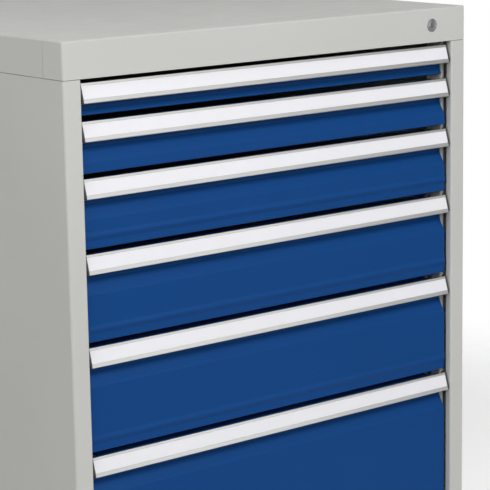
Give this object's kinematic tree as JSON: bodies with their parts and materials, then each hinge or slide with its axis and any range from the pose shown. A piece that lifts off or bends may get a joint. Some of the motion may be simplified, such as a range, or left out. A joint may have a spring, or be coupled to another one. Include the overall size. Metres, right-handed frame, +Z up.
{
  "type": "laboratory drawer cabinet",
  "caption": "Free-standing steel cabinet with graduated drawers on full-extension roller rails, inclined label-strip handles and a central key lock.",
  "frame": {"origin": "middle of the footprint, on the floor", "axes": "+Z up, the drawers face -Y and open along it, +X to the right as a user facing the cabinet along +Y sees it"},
  "size_m": [0.717, 0.725, 0.85],
  "materials": {
    "housing_paint": "light grey powder coat, fine orange peel, satin",
    "upright_paint": "light grey powder coat, satin",
    "drawer_paint": "deep blue powder coat, satin",
    "tray_paint": "light grey powder coat, satin",
    "handle_aluminium": "extruded and clear anodised, fine lines along its length",
    "label_card": "blank white label strip",
    "cap_plastic": "black moulded plastic",
    "rail_steel": "zinc plated steel",
    "roller_steel": "hardened bearing steel, turned",
    "lock_metal": "nickel plated key plug",
    "fastener_steel": "zinc plated fasteners"
  },
  "bodies": {
    "housing": {"left_side_panel": "housing_paint", "right_side_panel": "housing_paint", "back_panel": "housing_paint", "back_panel_screws": "fastener_steel", "front_header": "housing_paint", "top_cover": "housing_paint", "base_frame": "housing_paint", "levelling_screws": "fastener_steel", "rail_uprights": "upright_paint", "cabinet_rails": "rail_steel"},
    "lock_cylinder": {"lock_cylinder": "lock_metal"},
    "lock_bar": {"lock_bar": "rail_steel"},
    "drawer_1": {"drawer_1_tray": "tray_paint", "drawer_1_front": "drawer_paint", "drawer_1_handle": "handle_aluminium", "drawer_1_label_strip": "label_card", "drawer_1_end_caps": "cap_plastic", "drawer_1_rails": "rail_steel"},
    "drawer_1_extension": {"drawer_1_middle_rails": "rail_steel", "drawer_1_rollers": "roller_steel"},
    "drawer_2": {"drawer_2_tray": "tray_paint", "drawer_2_front": "drawer_paint", "drawer_2_handle": "handle_aluminium", "drawer_2_label_strip": "label_card", "drawer_2_end_caps": "cap_plastic", "drawer_2_rails": "rail_steel"},
    "drawer_2_extension": {"drawer_2_middle_rails": "rail_steel", "drawer_2_rollers": "roller_steel"},
    "drawer_3": {"drawer_3_tray": "tray_paint", "drawer_3_front": "drawer_paint", "drawer_3_handle": "handle_aluminium", "drawer_3_label_strip": "label_card", "drawer_3_end_caps": "cap_plastic", "drawer_3_rails": "rail_steel"},
    "drawer_3_extension": {"drawer_3_middle_rails": "rail_steel", "drawer_3_rollers": "roller_steel"},
    "drawer_4": {"drawer_4_tray": "tray_paint", "drawer_4_front": "drawer_paint", "drawer_4_handle": "handle_aluminium", "drawer_4_label_strip": "label_card", "drawer_4_end_caps": "cap_plastic", "drawer_4_rails": "rail_steel"},
    "drawer_4_extension": {"drawer_4_middle_rails": "rail_steel", "drawer_4_rollers": "roller_steel"},
    "drawer_5": {"drawer_5_tray": "tray_paint", "drawer_5_front": "drawer_paint", "drawer_5_handle": "handle_aluminium", "drawer_5_label_strip": "label_card", "drawer_5_end_caps": "cap_plastic", "drawer_5_rails": "rail_steel"},
    "drawer_5_extension": {"drawer_5_middle_rails": "rail_steel", "drawer_5_rollers": "roller_steel"},
    "drawer_6": {"drawer_6_tray": "tray_paint", "drawer_6_front": "drawer_paint", "drawer_6_handle": "handle_aluminium", "drawer_6_label_strip": "label_card", "drawer_6_end_caps": "cap_plastic", "drawer_6_rails": "rail_steel"},
    "drawer_6_extension": {"drawer_6_middle_rails": "rail_steel", "drawer_6_rollers": "roller_steel"}
  },
  "joints": [
    {"name": "drawer_1_slide", "type": "slide", "parent": "housing", "child": "drawer_1", "axis": [0, -1, 0], "range_m": [0, 0.6]},
    {"name": "drawer_1_extension_slide", "type": "slide", "parent": "housing", "child": "drawer_1_extension", "axis": [0, -1, 0], "range_m": [0, 0.3]},
    {"name": "drawer_2_slide", "type": "slide", "parent": "housing", "child": "drawer_2", "axis": [0, -1, 0], "range_m": [0, 0.6]},
    {"name": "drawer_2_extension_slide", "type": "slide", "parent": "housing", "child": "drawer_2_extension", "axis": [0, -1, 0], "range_m": [0, 0.3]},
    {"name": "drawer_3_slide", "type": "slide", "parent": "housing", "child": "drawer_3", "axis": [0, -1, 0], "range_m": [0, 0.6]},
    {"name": "drawer_3_extension_slide", "type": "slide", "parent": "housing", "child": "drawer_3_extension", "axis": [0, -1, 0], "range_m": [0, 0.3]},
    {"name": "drawer_4_slide", "type": "slide", "parent": "housing", "child": "drawer_4", "axis": [0, -1, 0], "range_m": [0, 0.6]},
    {"name": "drawer_4_extension_slide", "type": "slide", "parent": "housing", "child": "drawer_4_extension", "axis": [0, -1, 0], "range_m": [0, 0.3]},
    {"name": "drawer_5_slide", "type": "slide", "parent": "housing", "child": "drawer_5", "axis": [0, -1, 0], "range_m": [0, 0.6]},
    {"name": "drawer_5_extension_slide", "type": "slide", "parent": "housing", "child": "drawer_5_extension", "axis": [0, -1, 0], "range_m": [0, 0.3]},
    {"name": "drawer_6_slide", "type": "slide", "parent": "housing", "child": "drawer_6", "axis": [0, -1, 0], "range_m": [0, 0.6]},
    {"name": "drawer_6_extension_slide", "type": "slide", "parent": "housing", "child": "drawer_6_extension", "axis": [0, -1, 0], "range_m": [0, 0.3]},
    {"name": "lock_turn", "type": "hinge", "parent": "housing", "child": "lock_cylinder", "pos_m": [0.291, -0.3625, 0.825], "axis": [0, 1, 0], "range_deg": [0, 90]},
    {"name": "lock_bar_slide", "type": "slide", "parent": "housing", "child": "lock_bar", "axis": [0, 0, -1], "range_m": [0, 0.008]}
  ],
  "couplings": [
    {"joint": "drawer_1_extension_slide", "follows": "drawer_1_slide", "ratio": 0.5},
    {"joint": "drawer_2_extension_slide", "follows": "drawer_2_slide", "ratio": 0.5},
    {"joint": "drawer_3_extension_slide", "follows": "drawer_3_slide", "ratio": 0.5},
    {"joint": "drawer_4_extension_slide", "follows": "drawer_4_slide", "ratio": 0.5},
    {"joint": "drawer_5_extension_slide", "follows": "drawer_5_slide", "ratio": 0.5},
    {"joint": "drawer_6_extension_slide", "follows": "drawer_6_slide", "ratio": 0.5},
    {"joint": "lock_turn", "follows": "lock_bar_slide", "rad_per_m": 196.35}
  ]
}
